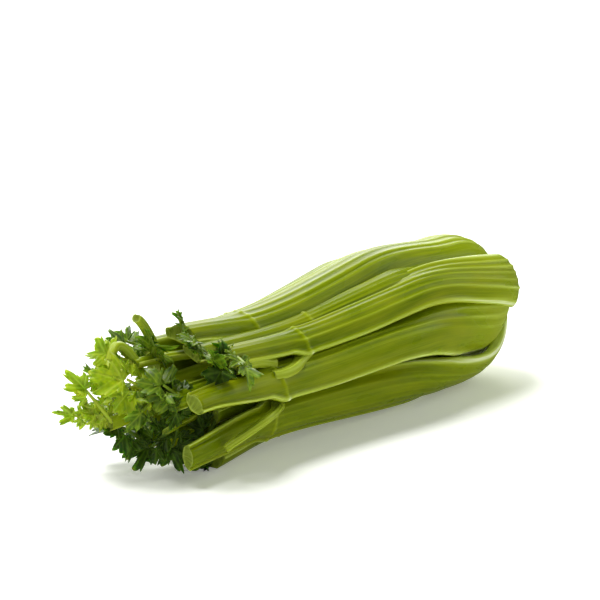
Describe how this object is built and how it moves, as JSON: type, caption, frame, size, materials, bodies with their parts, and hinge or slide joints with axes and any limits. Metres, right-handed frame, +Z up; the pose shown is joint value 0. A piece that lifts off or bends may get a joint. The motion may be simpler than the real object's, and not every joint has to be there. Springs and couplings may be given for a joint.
{
  "type": "head of celery",
  "caption": "Trimmed head of celery lying on its side: ribbed green stalks clasping a cut butt, jointed near their cut tops, with small lobed leaves between them.",
  "frame": {"origin": "centre of the bounding box's base, on the surface that the head lies on", "axes": "+X along the head from its leafy cut end to the butt, +Y to the side facing away from the viewer, +Z up"},
  "size_m": [0.3424, 0.0998, 0.0911],
  "materials": {
    "outer_stalk": "smooth, faintly waxy celery skin with pale lengthwise ribs",
    "inner_stalk": "smooth pale yellow-green celery skin",
    "butt": "matt cut stem, cream with a brown bruise round its middle",
    "leaf_bright": "satin leaf, bright yellow-green",
    "leaf_dark": "satin leaf, dark green"
  },
  "bodies": {
    "root": {"butt": "butt", "heart_stalk_far": "inner_stalk", "heart_stalk_lower": "inner_stalk", "heart_stalk_upper": "inner_stalk", "inner_stalk_back": "inner_stalk", "inner_stalk_far": "inner_stalk", "inner_stalk_front": "inner_stalk", "inner_stalk_lower": "inner_stalk", "inner_stalk_top": "inner_stalk", "leaf_cluster": "leaf_bright", "leaf_curled": "leaf_bright", "leaf_curled_low": "leaf_bright", "leaf_dark_tip": "leaf_dark", "leaf_fan": "leaf_bright", "leaf_far_lower": "leaf_dark", "leaf_far_middle": "leaf_bright", "leaf_far_top": "leaf_bright", "leaf_far_upper": "leaf_bright", "leaf_gap": "leaf_dark", "leaf_heart_tip": "leaf_bright", "leaf_inner_low": "leaf_dark", "leaf_inner_middle": "leaf_dark", "leaf_large_bright": "leaf_bright", "leaf_low_first": "leaf_dark", "leaf_low_second": "leaf_dark", "leaf_low_third": "leaf_dark", "leaf_middle": "leaf_bright", "leaf_over_front": "leaf_bright", "leaf_pale": "leaf_bright", "leaf_star": "leaf_bright", "leaf_thin": "leaf_bright", "leaf_under_front": "leaf_dark", "leaf_upper_tip": "leaf_bright", "side_stem_bent": "inner_stalk", "side_stem_forked": "inner_stalk", "stalk_far_lower": "outer_stalk", "stalk_far_middle": "outer_stalk", "stalk_far_upper": "outer_stalk", "stalk_front_lower": "outer_stalk", "stalk_front_middle": "outer_stalk", "stalk_front_upper": "outer_stalk", "stalk_top": "outer_stalk", "stalk_top_far": "outer_stalk", "stalk_underside": "outer_stalk", "stalk_upper_inner": "outer_stalk"}
  },
  "joints": []
}
